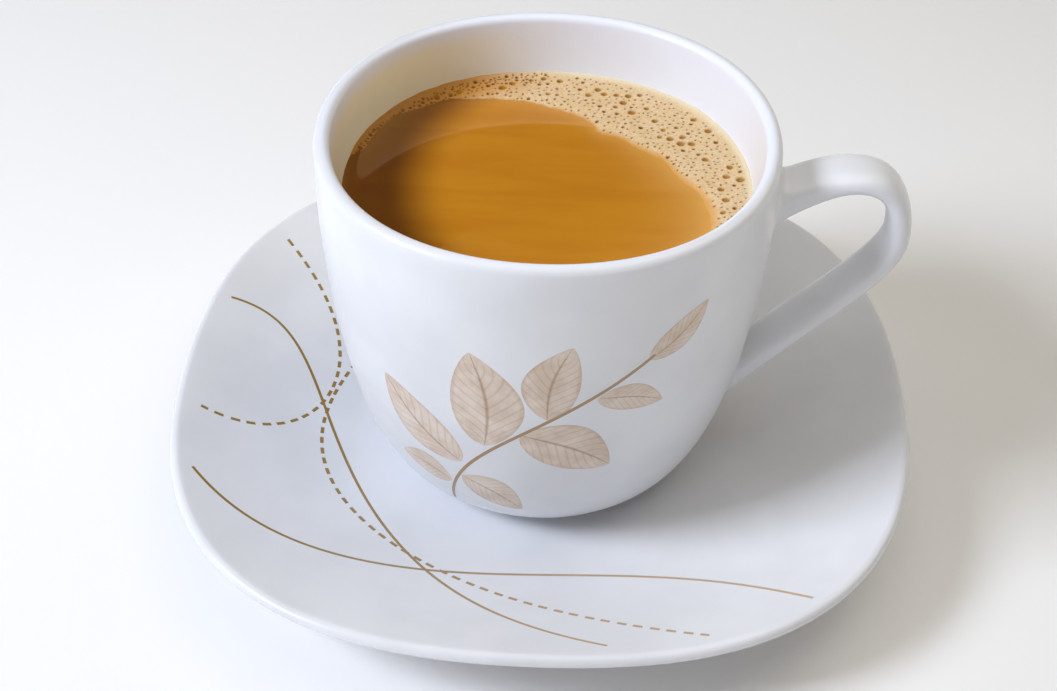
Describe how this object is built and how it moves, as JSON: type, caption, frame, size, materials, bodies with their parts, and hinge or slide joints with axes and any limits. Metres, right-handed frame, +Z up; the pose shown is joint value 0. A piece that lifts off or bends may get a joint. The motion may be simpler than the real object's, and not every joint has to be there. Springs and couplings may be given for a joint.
{
  "type": "cup of milk tea on a saucer",
  "caption": "Rounded-square ceramic cup with a strap handle, filled with frothy milk tea and standing on its matching saucer.",
  "frame": {"origin": "middle of the saucer's foot ring, on the table", "axes": "+Z up, +X towards the cup's handle, sides of the saucer square to X and Y"},
  "size_m": [0.149, 0.149, 0.0788],
  "materials": {
    "cup_glaze": "white gloss glaze with a tan leaf print",
    "saucer_glaze": "white gloss glaze with thin gold-brown lines",
    "milk_tea": "opaque tan liquid with a wet shine",
    "tea_froth": "pale tan froth with open bubbles"
  },
  "bodies": {
    "root": {"cup": "cup_glaze", "saucer": "saucer_glaze", "tea": "milk_tea", "froth": "tea_froth"}
  },
  "joints": []
}
